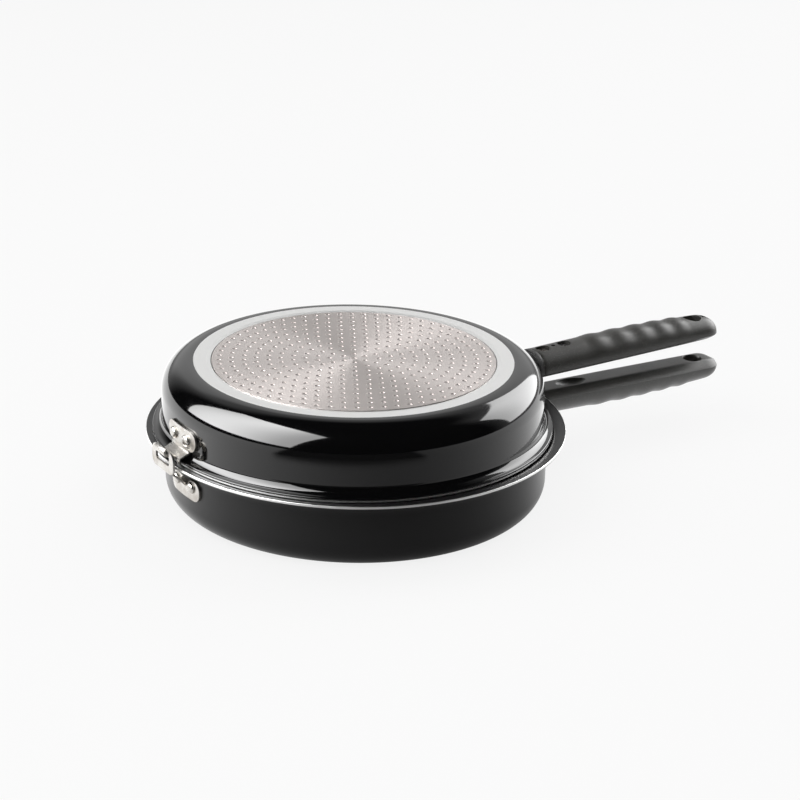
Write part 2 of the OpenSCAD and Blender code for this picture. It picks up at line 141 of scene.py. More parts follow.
class Graph:
    """The node tree of one material, or of the world."""

    def __init__(self, name: str, world: bool = False) -> None:
        """Makes a material, or a world, with an empty tree."""
        self.owner = (bpy.data.worlds if world else bpy.data.materials).new(name)
        self.owner.use_nodes = True
        self.end = "ShaderNodeOutputWorld" if world else "ShaderNodeOutputMaterial"
        self.tree = self.owner.node_tree
        self.tree.nodes.clear()

    def node(
        self,
        kind: str,
        settings: dict[str, Any] | None = None,
        sockets: dict[Any, Value] | None = None,
        output: int | str = 0,
    ) -> Signal:
        """Adds one node.

        Args:
            kind: The node's bpy type.
            settings: Properties to set first.
            sockets: Values, colours or links of inputs, by name or number.
            output: The output to return, by name or number.

        Returns:
            The chosen output as a signal.
        """
        made = self.tree.nodes.new(kind)
        for key, setting in (settings or {}).items():
            setattr(made, key, setting)
        for key, value in (sockets or {}).items():
            socket = made.inputs[key]
            plain = value.value if isinstance(value, Signal) else value
            if isinstance(plain, tuple):
                plain = (*plain, 1.0)
            if isinstance(plain, bpy.types.NodeSocket):
                self.tree.links.new(plain, socket)
            else:
                socket.default_value = plain
        return Signal(self, made.outputs[output] if made.outputs else None)

    def place(self) -> Signal:
        """The object's own coordinates, in metres."""
        return self.node("ShaderNodeTexCoord", output="Object")

    def axes(self, vector: Signal) -> tuple[Signal, Signal, Signal]:
        """Splits a vector into its three signals."""
        split = self.node("ShaderNodeSeparateXYZ", sockets={0: vector})
        outputs = split.value.node.outputs
        return tuple(Signal(self, outputs[i]) for i in range(3))

    def vector(self, x: Value, y: Value, z: Value) -> Signal:
        """Joins three signals into a vector."""
        return self.node("ShaderNodeCombineXYZ", sockets={0: x, 1: y, 2: z})

    def noise(self, vector: Signal, scale: float, detail: float = 3.0) -> Signal:
        """Noise from 0 to 1, with scale cells to the metre."""
        sockets = {"Vector": vector, "Scale": scale, "Detail": detail}
        return self.node("ShaderNodeTexNoise", sockets=sockets)

    def specks(self, vector: Signal, scale: float) -> Signal:
        """Distance to the nearest of many scattered points, in cells."""
        sockets = {"Vector": vector, "Scale": scale}
        return self.node("ShaderNodeTexVoronoi", sockets=sockets)

    def blend(self, factor: Value, first: Value, second: Value) -> Signal:
        """Colour that goes from first to second as factor goes from 0 to 1."""
        sockets = {0: factor, 6: first, 7: second}
        return self.node("ShaderNodeMix", {"data_type": "RGBA"}, sockets, output=2)

    def bump(self, height: Signal, depth_mm: float) -> Signal:
        """Normal of a surface whose relief is height times depth_mm."""
        sockets = {"Height": height, "Distance": depth_mm * MM, "Strength": 1.0}
        return self.node("ShaderNodeBump", sockets=sockets)

    def azimuth(self, x: Signal, y: Signal) -> Signal:
        """Direction round the Z axis in degrees, from +X towards +Y."""
        return y.math("ARCTAN2", x) * DEGREES

    def ray(self, kind: str) -> Signal:
        """1 for rays of one kind, such as Camera, and 0 for the rest."""
        return self.node("ShaderNodeLightPath", output=f"Is {kind} Ray")

    def glow(self, colour: Value) -> Signal:
        """Shader that gives off a colour."""
        return self.node("ShaderNodeEmission", sockets={"Color": colour, "Strength": 1.0})

    def mix(self, factor: Value, first: Signal, second: Signal) -> Signal:
        """Shader that goes from first to second as factor goes from 0 to 1."""
        return self.node("ShaderNodeMixShader", sockets={0: factor, 1: first, 2: second})

    def surface(self, **inputs: Value) -> Material:
        """Ends the graph in a Principled surface, fed by name with _ for spaces."""
        sockets = {key.replace("_", " "): value for key, value in inputs.items()}
        return self.output(self.node("ShaderNodeBsdfPrincipled", sockets=sockets))

    def output(self, shader: Signal) -> Any:
        """Ends the graph in any shader and returns the material or world."""
        self.node(self.end, sockets={"Surface": shader})
        return self.owner


def grey(level: float) -> Colour:
    """A colour with all three channels the same."""
    return (level, level, level)


def direction(azimuth_deg: float, elevation_deg: float) -> Vector:
    """Unit vector at an azimuth from +X towards +Y and an elevation."""
    a, e = math.radians(azimuth_deg), math.radians(elevation_deg)
    return Vector((math.cos(a) * math.cos(e), math.sin(a) * math.cos(e), math.sin(e)))


# ---- finishes ----


@dataclass(frozen=True)
class PanCoat:
    """Coat of a pressed pan, which leaves the base and the rim's edge bare.

    Its borders, skin depths and grain are in millimetres. Every scale counts cells
    to the metre but turning_scale, which counts them to the millimetre.
    """

    name: str
    colour: Colour
    roughness: float
    ior: float = 1.45
    grain_mm: float = 0.0
    inside_colour: Colour = (0.030, 0.030, 0.031)
    inside_roughness: float = 0.36
    inside_grain_mm: float = 0.004
    inside_depths: Pair = (1.2, 1.8)
    fleck_level: float = 0.16
    bare_light: Colour = (0.92, 0.92, 0.91)
    bare_dark: Colour = (0.82, 0.82, 0.81)
    bare_roughness: float = 0.30
    bare_groove_mm: float = 0.035
    filled_colour: Colour = (0.50, 0.465, 0.45)
    # Painted shade: the near-black level painted into the groove round the plate.
    groove_shade_level: float = 0.03
    border_soft: float = 0.12
    border_wobble: float = 0.25
    wobble_scale: float = 90
    cloud_scale: float = 38
    fleck_scale: float = 900
    grain_scale: float = 2500
    turning_scale: float = 2.2

    def build(self, shape: "PanShape", seat: "Seat") -> Material:
        """Makes the material.

        Args:
            shape: The pan's sizes, which say where the coat ends.
            seat: Where the pan lies.

        Returns:
            The material.
        """
        g = Graph(self.name)
        place = g.place()
        _, _, z = g.axes(place)
        radius = seat.radius(g)
        height = (seat.base_z - z) / MM if seat.flipped else z / MM
        bare = self._bare(g, shape, radius, height)
        inside = self._inside(shape, radius, height)
        turned = g.noise(g.vector(radius, 0.0, 0.0), self.turning_scale, 5)
        cloud = g.noise(place, self.cloud_scale, 4)
        fine = g.noise(place, self.grain_scale, 2)

        coat_colour = g.blend(inside, self.colour, self.inside_colour)
        fleck = g.specks(place, self.fleck_scale).rise(0.16, 0.08) * inside
        coat_colour = g.blend(fleck * 0.35, coat_colour, grey(self.fleck_level))
        metal_colour = g.blend(turned * 0.45, self.bare_light, self.bare_dark)
        behind_plate = radius.rise(shape.plate_r + 0.1, shape.plate_r - 0.1)
        metal_colour = g.blend(behind_plate, metal_colour, self.filled_colour)
        # Painted shade: the bare metal in the groove between the plate and the pocket's
        # wall, from about 0.2 to 0.5 mm deep, is darkened nearly to black where shade falls
        # in it.
        gap = radius.between(shape.plate_r, shape.pocket_r + 0.1, 0.15)
        gap = gap * height.rise(0.2, 0.5)
        metal_colour = g.blend(gap * 0.85, metal_colour, grey(self.groove_shade_level))

        coat_roughness = (
            self.roughness
            + (self.inside_roughness - self.roughness) * inside
            + (cloud - 0.5) * 0.35 * self.roughness
        )
        bare_roughness = self.bare_roughness + (turned - 0.5) * 0.12
        grain = fine * (1 - bare) * (self.grain_mm + self.inside_grain_mm * inside)
        return g.surface(
            Base_Color=g.blend(bare, coat_colour, metal_colour),
            Metallic=bare,
            Roughness=coat_roughness * (1 - bare) + bare_roughness * bare,
            IOR=self.ior,
            Normal=g.bump(grain + turned * bare * self.bare_groove_mm, 1.0),
        )

    def _bare(self, g: Graph, shape: "PanShape", radius: Signal, height: Signal) -> Signal:
        """1 on the machined base and the rim's cut edge, which have no coat."""
        soft = self.border_soft
        wobble = (g.noise(g.place(), self.wobble_scale, 2) - 0.5) * self.border_wobble
        on_base = (radius + wobble).rise(shape.bare_r + soft, shape.bare_r - soft)
        on_base = on_base * height.rise(2.2, 1.8)
        on_edge = radius.rise(shape.rim_r - 0.3, shape.rim_r - soft)
        edge_z = shape.height - shape.bare_edge
        on_edge = on_edge * (height + wobble).rise(edge_z - 0.15, edge_z)
        return on_base.most(on_edge)

    def _inside(self, shape: "PanShape", radius: Signal, height: Signal) -> Signal:
        """1 deeper in the metal than the outer skin, which only the inside is."""
        past_corner = (radius - (shape.wall_r - shape.corner_r)).most(0.0)
        below_corner = (shape.corner_r - height).most(0.0)
        reach = (past_corner * past_corner + below_corner * below_corner) ** 0.5
        return (shape.corner_r - reach).rise(*self.inside_depths)


@dataclass(frozen=True)
class TurnedPlate:
    """Perforated base plate, turned in fine rings that fan the light out."""

    name: str = "turned_plate"
    light: Colour = (0.62, 0.575, 0.555)
    dark: Colour = (0.47, 0.435, 0.42)
    roughness: float = 0.48
    anisotropic: float = 0.50
    rotation: float = 0.25
    ring_scale: float = 3.1
    ring_mm: float = 0.012
    fan_scale: float = 9
    cloud_scale: float = 60

    def build(self, seat: "Seat") -> Material:
        """Makes rings of noise along the radius from the seat's axis."""
        g = Graph(self.name)
        place = g.place()
        x, y, _ = g.axes(place)
        radius = seat.radius(g)
        rings = g.noise(g.vector(radius, 0.0, 0.0), self.ring_scale, 6)
        angle = y.math("ARCTAN2", x)
        fan = g.noise(g.vector(angle * self.fan_scale, radius * 0.01, 0.0), 1.0, 4)
        tone = rings * 0.45 + fan * 0.25 + g.noise(place, self.cloud_scale, 3) * 0.3
        return g.surface(
            Base_Color=g.blend(tone, self.dark, self.light),
            Metallic=1.0,
            Roughness=self.roughness + (rings - 0.5) * 0.10,
            Anisotropic=self.anisotropic,
            Anisotropic_Rotation=self.rotation,
            Normal=g.bump(rings, self.ring_mm),
        )


@dataclass(frozen=True)
class BrightSteel:
    """Pressed steel of the brackets, rivets and screws, tumbled to a shine."""

    name: str
    colour: Colour = (0.50, 0.485, 0.46)
    tarnish: Colour = (0.24, 0.205, 0.17)
    roughness: float = 0.28
    dent_mm: float = 0.035
    dent_scale: float = 260
    stain_scale: float = 120
    scratch_scales: tuple[float, float, float] = (2600, 240, 2600)

    def build(self) -> Material:
        """Makes a shine that shallow dents break, with warm tarnish."""
        g = Graph(self.name)
        place = g.place()
        dents = g.noise(place, self.dent_scale, 2)
        stain = g.noise(place, self.stain_scale, 5).rise(0.42, 0.75)
        streaks = [axis * s for axis, s in zip(g.axes(place), self.scratch_scales)]
        scratch = g.noise(g.vector(*streaks), 1.0, 3)
        return g.surface(
            Base_Color=g.blend(stain * 0.55, self.colour, self.tarnish),
            Metallic=1.0,
            Roughness=self.roughness + stain * 0.12 + (scratch - 0.5) * 0.10,
            Normal=g.bump(dents + scratch * 0.12, self.dent_mm),
        )


@dataclass(frozen=True)
class MouldedResin:
    """Heat-resistant moulding of the grips and collars, with a fine speckle."""

    name: str
    colour: Colour
    roughness: float
    speck_colour: Colour = (0.16, 0.155, 0.15)
    speck_share: float = 0.85
    speck_scale: float = 1150
    grain_mm: float = 0.03
    grain_scale: float = 1400
    wear_scale: float = 55

    def build(self) -> Material:
        """Makes dark resin with pale filler specks and a matt grain."""
        g = Graph(self.name)
        place = g.place()
        specks = g.specks(place, self.speck_scale).rise(0.26, 0.12)
        grain = g.noise(place, self.grain_scale, 3)
        worn = g.noise(place, self.wear_scale, 4)
        return g.surface(
            Base_Color=g.blend(
                specks * self.speck_share * worn, self.colour, self.speck_colour
            ),
            Roughness=self.roughness + (worn - 0.5) * 0.16 + (grain - 0.5) * 0.08,
            Normal=g.bump(grain, self.grain_mm),
        )


# ---- mesh building ----


class Profile:
    """Half section of a turned piece, as points of (radius, height)."""

    EASE = 0.15

    def __init__(self, start: Pair) -> None:
        """Starts the section at one point, in millimetres."""
        self.points: list[Pair] = [start]

    def line(self, radius: float, height: float, eased: bool = True) -> "Profile":
        """Draws a straight run, eased by a point close to both of its ends."""
        start, end = np.array(self.points[-1]), np.array((radius, height))
        run = float(np.linalg.norm(end - start))
        if eased and run > 4 * self.EASE:
            step = (end - start) * self.EASE / run
            self.points += [tuple(start + step), tuple(end - step)]
        self.points.append((radius, height))
        return self

    def arc(
        self, centre: Pair, radius: float, start: float, end: float, steps: int
    ) -> "Profile":
        """Draws a round bend about a centre, between two angles in degrees."""
        turn = np.radians(np.linspace(start, end, steps + 1))
        x, y = centre[0] + radius * np.cos(turn), centre[1] + radius * np.sin(turn)
        self.points += [tuple(map(float, point)) for point in zip(x, y)]
        return self

    def array(self) -> Array:
        """The points with repeats left out."""
        made = np.array(self.points)
        moved = np.linalg.norm(np.diff(made, axis=0), axis=1) > 1e-6
        return made[np.concatenate([[True], moved])]


def revolve(profile: Array, turns: int) -> MeshData:
    """Turns a section round the Z axis: (r, h) goes to (r cos a, r sin a, h).

    Args:
        profile: Points of (radius, height). Radius 0 at an end makes a pole.
        turns: Number of steps round the axis.

    Returns:
        The vertices and the faces of a closed surface, whose faces point to the
        right of the section's direction of travel.
    """
    turn = np.linspace(0, TAU, turns, endpoint=False)
    on_axis = profile[:, 0] < 1e-9
    first, last = bool(on_axis[0]), bool(on_axis[-1])
    rings = profile[first : len(profile) - last]
    count = len(rings)
    grid = np.empty((count, turns, 3))
    grid[..., 0] = rings[:, :1] * np.cos(turn)
    grid[..., 1] = rings[:, :1] * np.sin(turn)
    grid[..., 2] = rings[:, 1:]
    vertices = grid.reshape(-1, 3)
    index = np.arange(count * turns).reshape(count, turns)
    after = np.roll(index, -1, axis=1)
    low, high = index[:-1], index[1:]
    quads = np.stack([low, after[:-1], after[1:], high], axis=-1).reshape(-1, 4)
    faces = quads.tolist()
    fans = (first, 0, after[0], index[0]), (last, -1, index[-1], after[-1])
    for capped, end, here, there in fans:
        if capped:
            pole = np.full(turns, len(vertices))
            vertices = np.vstack([vertices, [0, 0, profile[end, 1]]])
            faces += np.stack([pole, here, there], axis=-1).tolist()
    if not (first and last):
        ring = np.stack([index[-1], after[-1], after[0], index[0]], axis=-1)
        faces += ring.tolist()
    return vertices, faces


def new_piece(
    name: str,
    vertices: Array,
    faces: Iterable[Sequence[int]],
    sharp_deg: float = 32.0,
    outward: bool = True,
) -> Piece:
    """Puts a mesh into the scene, smooth but for its sharp edges.

    Args:
        name: The piece's name.
        vertices: Points in metres, in the row frame.
        faces: Lists of vertex numbers.
        sharp_deg: Edges that turn more than this stay sharp.
        outward: Has the faces' directions worked out again.

    Returns:
        The object, at the origin.
    """
    mesh = bpy.data.meshes.new(name)
    mesh.from_pydata(vertices.tolist(), [], list(faces))
    if outward:
        recalculate(mesh)
    finish_shading(mesh, sharp_deg)
    piece = bpy.data.objects.new(name, mesh)
    bpy.context.scene.collection.objects.link(piece)
    return piece


def recalculate(mesh: bpy.types.Mesh) -> None:
    """Turns every face of a closed mesh outwards."""
    work = bmesh.new()
    work.from_mesh(mesh)
    bmesh.ops.recalc_face_normals(work, faces=work.faces)
    work.to_mesh(mesh)
    work.free()


def finish_shading(mesh: bpy.types.Mesh, sharp_deg: float) -> None:
    """Shades a mesh smooth, with edges over sharp_deg kept sharp."""
    mesh.polygons.foreach_set("use_smooth", np.ones(len(mesh.polygons), bool))
    mesh.set_sharp_from_angle(angle=math.radians(sharp_deg))
    mesh.update()


def bake_modifiers(piece: Piece, sharp_deg: float) -> None:
    """Applies a piece's modifiers to its mesh."""
    graph = bpy.context.evaluated_depsgraph_get()
    made = bpy.data.meshes.new_from_object(piece.evaluated_get(graph))
    piece.modifiers.clear()
    old, piece.data = piece.data, made
    bpy.data.meshes.remove(old)
    finish_shading(made, sharp_deg)


def rectangle(x0: float, x1: float, y0: float, y1: float) -> Array:
    """Corners of a level rectangle, anticlockwise as seen from above."""
    return np.array([[x0, y0, 0], [x1, y0, 0], [x1, y1, 0], [x0, y1, 0]], float)


def placed(vertices: Array, matrix: Matrix) -> Array:
    """Moves points by a 4 by 4 matrix."""
    m = np.array(matrix)
    return vertices @ m[:3, :3].T + m[:3, 3]


def softened_copy(node: str, name: str, bevel_mm: float, sharp_deg: float = 34) -> Piece:
    """Copies a CAD node, merges its loose triangles and rounds its edges.

    Args:
        node: The CAD node.
        name: The new piece's name.
        bevel_mm: Width of the rounding.
        sharp_deg: Edges that turn more than this are rounded.

    Returns:
        The new piece.
    """
    weld_m, flat_deg = 2e-6, 0.4
    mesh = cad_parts[node].data.copy()
    mesh.name = name
    mesh.materials.clear()
    work = bmesh.new()
    work.from_mesh(mesh)
    bmesh.ops.remove_doubles(work, verts=work.verts, dist=weld_m)
    bmesh.ops.dissolve_limit(
        work, angle_limit=math.radians(flat_deg), verts=work.verts, edges=work.edges
    )
    work.to_mesh(mesh)
    work.free()
    if mesh.has_custom_normals:
        mesh.attributes.remove(mesh.attributes["custom_normal"])
    piece = bpy.data.objects.new(name, mesh)
    bpy.context.scene.collection.objects.link(piece)
    bevel = piece.modifiers.new("edge_rounding", "BEVEL")
    bevel.width = bevel_mm * MM
    bevel.segments = 3
    bevel.limit_method = "ANGLE"
    bevel.angle_limit = math.radians(sharp_deg)
    bevel.miter_outer = "MITER_ARC"
    bake_modifiers(piece, sharp_deg)
    return piece


def hand_over(piece: Piece, half: Half, node: str, slot: str, palette: Palette) -> None:
    """Dresses a finished piece and lets it stand for a CAD node.

    Args:
        piece: The new piece.
        half: The half that it rides on.
        node: The CAD node that it replaces.
        slot: The record's material slot.
        palette: Materials by slot.
    """
    piece.data.materials.clear()
    piece.data.materials.append(palette[slot])
    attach(piece, half.body)
    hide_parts(node)
    log.info("%s stands for %s, %d faces", piece.name, node, len(piece.data.polygons))


# ---- the pans ----


@dataclass(frozen=True)
class Seat:
    """Where one half lies in the frame, in metres."""

    axis_x: float
    base_z: float
    flipped: bool

    @classmethod
    def of(cls, half: Half) -> "Seat":
        """Reads the place of a half from the box of its CAD pan."""
        low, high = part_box(f"{half.value}_pan")
        flipped = half is Half.UPPER
        return cls((low[0] + high[0]) / 2, high[2] if flipped else low[2], flipped)

    def radius(self, g: Graph) -> Signal:
        """Distance from the pan's axis, in millimetres."""
        x, y, _ = g.axes(g.place())
        away = x - self.axis_x
        return (away * away + y * y) ** 0.5 / MM

    def lay(self, vertices: Array) -> Array:
        """Moves a pan's points, drawn base down on the Z axis, to their place."""
        side = -1 if self.flipped else 1
        return vertices * [1, 1, side] + [self.axis_x, 0, self.base_z]


@dataclass(frozen=True)
class PanShape:
    """Sizes of one pressed pan, base down, in millimetres."""

    wall_r: float
    corner_r: float
    cove_r: float
    rim_r: float
    height: float
    edge_round: float
    bare_edge: float
    wall_t: float = 2.4
    base_t: float = 4.0
    plate_r: float = 88.0
    pocket_r: float = 88.5
    pocket_depth: float = 1.0
    bevel_w: float = 3.0
    filled_depth: float = 0.42
    filled_gap: float = 0.4
    corner_thicker: float = 3.0
    nick_r: float = 0.18
    bare_r: float = 99.2

    def section(self) -> Array:
        """Half section from the base's pole, round underneath and back inside."""
        cove_x = self.wall_r + self.cove_r
        cove_z = self.height - self.cove_r - self.wall_t
        bell_r = self.cove_r + self.wall_t
        inner_r = self.wall_r - self.wall_t
        inner_corner = self.corner_r - self.corner_thicker
        under = self.height - self.wall_t
        edge, nick = self.edge_round, self.nick_r
        filled_r = self.plate_r - self.filled_gap
        p = Profile((0, self.filled_depth))
        p.line(filled_r, self.filled_depth)
        p.line(filled_r, self.pocket_depth, eased=False)
        p.line(self.pocket_r, self.pocket_depth, eased=False)
        p.line(self.pocket_r, self.pocket_depth / 2)
        p.line(self.pocket_r + self.bevel_w - 0.2, 0.02)
        p.line(self.pocket_r + self.bevel_w + 0.3, 0)
        p.line(self.wall_r - self.corner_r, 0)
        p.arc((self.wall_r - self.corner_r, self.corner_r), self.corner_r, -90, 0, 36)
        p.line(self.wall_r, cove_z)
        p.arc((cove_x, cove_z), self.cove_r, 180, 90, 20)
        p.line(self.rim_r - edge, under)
        p.arc((self.rim_r - edge, under + edge), edge, -90, 0, 8)
        p.line(self.rim_r, self.height - nick)
        p.arc((self.rim_r - nick, self.height - nick), nick, 0, 90, 3)
        p.line(cove_x, self.height)
        p.arc((cove_x, cove_z), bell_r, 90, 180, 28)
        inner_z = self.base_t + inner_corner
        p.line(inner_r, inner_z)
        p.arc((inner_r - inner_corner, inner_z), inner_corner, 0, -90, 20)
        p.line(0, self.base_t)
        return p.array()


@dataclass
class Pan:
    """One pan: its pressed shell and the turned plate let into its base."""

    half: Half
    shape: PanShape
    coat: PanCoat
    slot: str
    turns: int = 320

    def build(self, plate_finish: TurnedPlate) -> None:
        """Makes the shell and dresses the plate with the given finish."""
        seat = Seat.of(self.half)
        vertices, faces = revolve(self.shape.section() * MM, self.turns)
        shell = new_piece(f"{self.half.value}_pan_shell", seat.lay(vertices), faces)
        palette = {self.slot: self.coat.build(self.shape, seat)}
        hand_over(shell, self.half, f"{self.half.value}_pan", self.slot, palette)
        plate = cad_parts[f"{self.half.value}_induction_plate"]
        plate.data.materials.clear()
        plate.data.materials.append(plate_finish.build(seat))
        log.info("%s keeps its CAD shape", plate.name)


# ---- fastenings ----


@dataclass(frozen=True)
class Rivet:
    """A round-headed rivet set through a pan's wall."""

    shank_d: float = 4.4
    head_d: float = 7.2
    head_h: float = 2.4
    head_edge: float = 0.7
    inner_d: float = 9.0
    inner_h: float = 1.5
    wall_t: float = 2.4
    gap: float = 0.15
    off_sheet: float = 0.01
    foot: float = 0.15
    inner_power: float = 1.1
    head_power: float = 0.8
    turns: int = 56

    def section(self, sheet_t: float) -> Array:
        """Half section along the rivet's axis, from the inner crown to the outer.

        Args:
            sheet_t: Thickness of the bracket that the head bears on.

        Returns:
            Points of (radius, height). Height 0 is the wall's outer face.
        """
        inner = -self.wall_t - self.gap
        outer = self.gap + sheet_t + self.off_sheet
        shank, head = self.shank_d / 2, self.head_d / 2
        turn = np.linspace(0, math.pi / 2, 13)
        inner_dome = np.column_stack([
            np.sin(turn) * self.inner_d / 2,
            inner - np.cos(turn) ** self.inner_power * self.inner_h,
        ])
        outer_dome = np.column_stack([
            np.cos(turn) ** self.head_power * head,
            outer + self.head_edge + np.sin(turn) * (self.head_h - self.head_edge),
        ])
        foot = [[head - self.foot, outer], [head, outer + self.foot]]
        neck = [[shank, inner], [shank, outer]]
        made = np.vstack([inner_dome, neck, foot, outer_dome])
        made[0, 0] = made[-1, 0] = 0.0
        return made


@dataclass(frozen=True)
class RivetPair:
    """Two rivets, one to each side of a bracket's middle."""

    where: str
    wall_r: float
    span: float
    sheet_t: float
    facing_deg: float

    def build(self, half: Half, rivet: Rivet, palette: Palette) -> None:
        """Makes both rivets, at the height of the CAD ones."""
        vertices, faces = revolve(rivet.section(self.sheet_t) * MM, rivet.turns)
        swing = math.degrees(math.asin(self.span / 2 / self.wall_r))
        for word, side in (("left", 1), ("right", -1)):
            node = f"{half.value}_{self.where}_rivet_{word}"
            low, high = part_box(node)
            place = (
                Matrix.Translation((Seat.of(half).axis_x, 0, (low[2] + high[2]) / 2))
                @ Matrix.Rotation(math.radians(self.facing_deg + side * swing), 4, "Z")
                @ Matrix.Translation((self.wall_r * MM, 0, 0))
                @ Matrix.Rotation(math.pi / 2, 4, "Y")
            )
            name = f"{half.value}_{self.where}_dome_{word}"
            piece = new_piece(name, placed(vertices, place), faces, sharp_deg=50)
            hand_over(piece, half, node, "rivet_steel", palette)


# ---- the hinge ----


@dataclass
class Hinge:
    """Loop bracket of the lower pan and hook bracket of the upper one."""

    rivets: dict[Half, RivetPair]
    edge_mm: float = 0.22
    rivet: Rivet = field(default_factory=Rivet)

    def build(self, palette: Palette) -> None:
        """Makes both brackets and their rivets."""
        names = {Half.LOWER: "lower_loop_bracket", Half.UPPER: "upper_hook_bracket"}
        for half, name in names.items():
            node = f"{half.value}_hinge_bracket"
            piece = softened_copy(node, name, self.edge_mm)
            hand_over(piece, half, node, "bracket_steel", palette)
            self.rivets[half].build(half, self.rivet, palette)


# ---- the handles ----


@dataclass(frozen=True)
class GripShape:
    """Sizes of a moulded grip in its own frame, in millimetres.

    The frame's X runs from the grip's front to its tip and its Z points away
    from the other grip.
    """

    length: float = 150.5
    half_w: float = 14.0
    crown: float = 13.4
    keel: float = 4.2
    flat_half_w: float = 7.5
    fingers: int = 5
    finger_depth: float = 0.9
    finger_start: float = 48.0
    finger_pitch: float = 20.3
    finger_tighten: float = 0.0024
    tip_l: float = 13.0
    tip_power: float = 2.6
    tip_narrower: float = 1.5
    tip_lower: float = 3.0
    swell_w: float = 0.4
    swell_h: float = 0.8
    lead_l: float = 0.7
    lead_share: float = 0.035
    oval: Pair = (0.9, 0.92)
    bevel_power: float = 0.8
    hang_d: float = 12.4
    hang_from_tip: float = 17.5
    hang_past: Pair = (0.35, 11.9)
    counterbore_d: float = 9.4
    screw_bore_d: float = 4.8
    screw_start: float = 7.2
    screw_pitch: float = 17.0
    tang_drop: float = 4.5
    tang_t: float = 3.0
    tang_w: float = 16.0
    tang_l: float = 34.2
    screw_seat: float = 2.4
    vent_d: float = 3.0
    blind_d: float = 4.4
    blind_gap: float = 3.4
    blind_depth: float = 5.5
    pocket_start: float = 17.0
    pocket_l: float = 24.0
    pocket_w: float = 12.0
    pocket_depth: float = 3.0

    def blunt(self, s: Array) -> Array:
        """Rounds the tip: 1 along the grip, then a superellipse to nothing."""
        t = np.clip((s - self.length + self.tip_l) / self.tip_l, 0, 1)
        n = self.tip_power
        return np.where(t <= 0, 1.0, np.maximum(0, 1 - t**n) ** (1 / n))

    def swell(self, s: Array) -> Array:
        """One slow wave over the grip's length."""
        return np.sin(math.pi * np.minimum(1, s / self.length))

    def wave(self, s: Array) -> Array:
        """Finger waves from 0 to 1, closer together towards the tip."""
        d = s - self.finger_start
        phase = d / self.finger_pitch * (1 + self.finger_tighten * d)
        wave = (1 + np.cos(TAU * phase)) / 2
        return np.where((phase < -0.5) | (phase > self.fingers - 0.5), 0.0, wave)

    def skin(self, stations: int = 190, crown_steps: int = 56) -> MeshData:
        """Works out the closed outside, in metres.

        Half the section is an oval crown, |cos| and sin to the powers in oval.
        The rest is two curved bevels and a flat. Both are scaled along the grip.

        Args:
            stations: Sections along the grip.
            crown_steps: Steps over the crown.

        Returns:
            Vertices and faces.
        """
        body, end_gap, flat_steps = 0.74, 0.0004, 7
        u = np.linspace(0, 1, stations)
        straight = self.length - self.tip_l
        bend = math.pi / 2 * np.clip((u - body) / (1 - body), 0, 1)
        s = np.where(u < body, u / body * straight, straight + self.tip_l * np.sin(bend))
        s[-1] = self.length - end_gap
        s[1:3] = [0.25, self.lead_l]
        share, swell = s / self.length, self.swell(s)
        lead = 1 - self.lead_share * np.clip(1 - s / self.lead_l, 0, 1) ** 2
        blunt = self.blunt(s)
        wave = self.finger_depth * (self.wave(s) - 0.5)
        wide = self.half_w - self.tip_narrower * share**2 + self.swell_w * swell
        high = self.crown - self.tip_lower * share**3 + self.swell_h * swell + wave
        wide, high, low = (size * blunt * lead for size in (wide, high, self.keel))

        a = np.linspace(0, math.pi, crown_steps + 1)
        crown_y = np.sign(np.cos(a)) * np.abs(np.cos(a)) ** self.oval[0]
        crown_z = np.sin(a) ** self.oval[1]
        crown_z[-1] = 0.0
        flat = self.flat_half_w / self.half_w
        f = np.linspace(0, 1, flat_steps + 1)[1:]
        bevel_y = 1 + (flat - 1) * f
        bevel_z = -(f**self.bevel_power)
        across = np.linspace(-flat, flat, flat_steps + 1)[1:-1]
        y = np.concatenate([crown_y, -bevel_y, across, bevel_y[::-1]])
        z = np.concatenate([crown_z, bevel_z, -np.ones_like(across), bevel_z[::-1]])
        above = z >= 0
        points = np.empty((stations, len(y), 3))
        points[..., 0] = s[:, None]
        points[..., 1] = wide[:, None] * y
        points[..., 2] = np.where(above, high[:, None] * z, low[:, None] * z)
        return self._closed(points)

    @staticmethod
    def _closed(points: Array) -> MeshData:
        """Joins a grid of closed sections, with a fan over both ends."""
        rows, count, _ = points.shape
        index = np.arange(rows * count).reshape(rows, count)
        after = np.roll(index, -1, axis=1)
        quads = np.stack([index[:-1], index[1:], after[1:], after[:-1]], axis=-1)
        ends = points[0].mean(0), points[-1].mean(0)
        vertices = np.vstack([points.reshape(-1, 3), *ends])
        front, tip = rows * count, rows * count + 1
        faces = quads.reshape(-1, 4).tolist()
        for pole, here, there in (front, index[0], after[0]), (tip, after[-1], index[-1]):
            faces += np.stack([np.full(count, pole), here, there], axis=-1).tolist()
        return vertices * MM, faces


